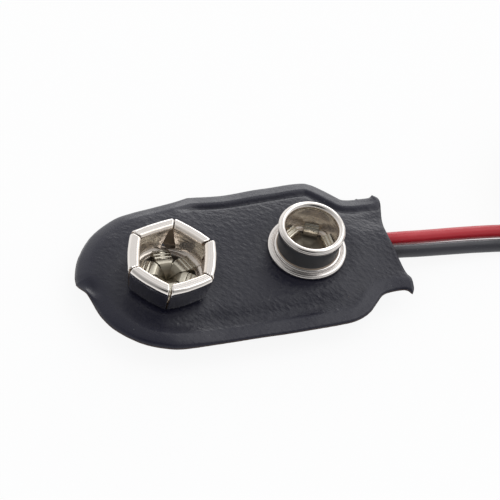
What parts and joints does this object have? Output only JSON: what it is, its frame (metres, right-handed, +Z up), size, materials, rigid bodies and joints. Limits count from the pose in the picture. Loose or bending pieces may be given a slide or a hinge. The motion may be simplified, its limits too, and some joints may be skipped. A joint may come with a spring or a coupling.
{
  "type": "9v battery snap",
  "caption": "Soft battery snap: a welded leatherette pad carries a hexagonal spring socket and a round stud that clip onto a battery, with a red and a black lead.",
  "frame": {"origin": "midway between the two snaps, on the flat underside of the pad", "axes": "+X from the hexagonal socket to the round stud and on towards the leads, +Z up out of the snaps"},
  "size_m": [0.0563, 0.0167, 0.0061],
  "materials": {
    "leatherette": "grained vinyl leatherette, semi-matte",
    "board": "fibre board",
    "nickel": "nickel plated, bright",
    "rivet": "nickel plated, duller",
    "solder": "solder, satin",
    "copper": "stranded copper",
    "red_pvc": "smooth insulation",
    "black_pvc": "smooth insulation",
    "tinned": "tinned strands",
    "tie": "plain plastic band"
  },
  "bodies": {
    "root": {"top_cover": "leatherette", "bottom_cover": "leatherette", "stiffener_board": "board", "hex_socket": "nickel", "round_stud": "nickel", "socket_rivet": "rivet", "stud_rivet": "rivet", "socket_solder": "solder", "stud_solder": "solder", "red_conductor": "copper", "black_conductor": "copper", "red_inner_lead": "red_pvc", "black_inner_lead": "black_pvc", "red_lead": "red_pvc", "black_lead": "black_pvc", "red_coil": "red_pvc", "black_coil": "black_pvc", "red_tip": "tinned", "black_tip": "tinned", "coil_tie": "tie"}
  },
  "joints": []
}
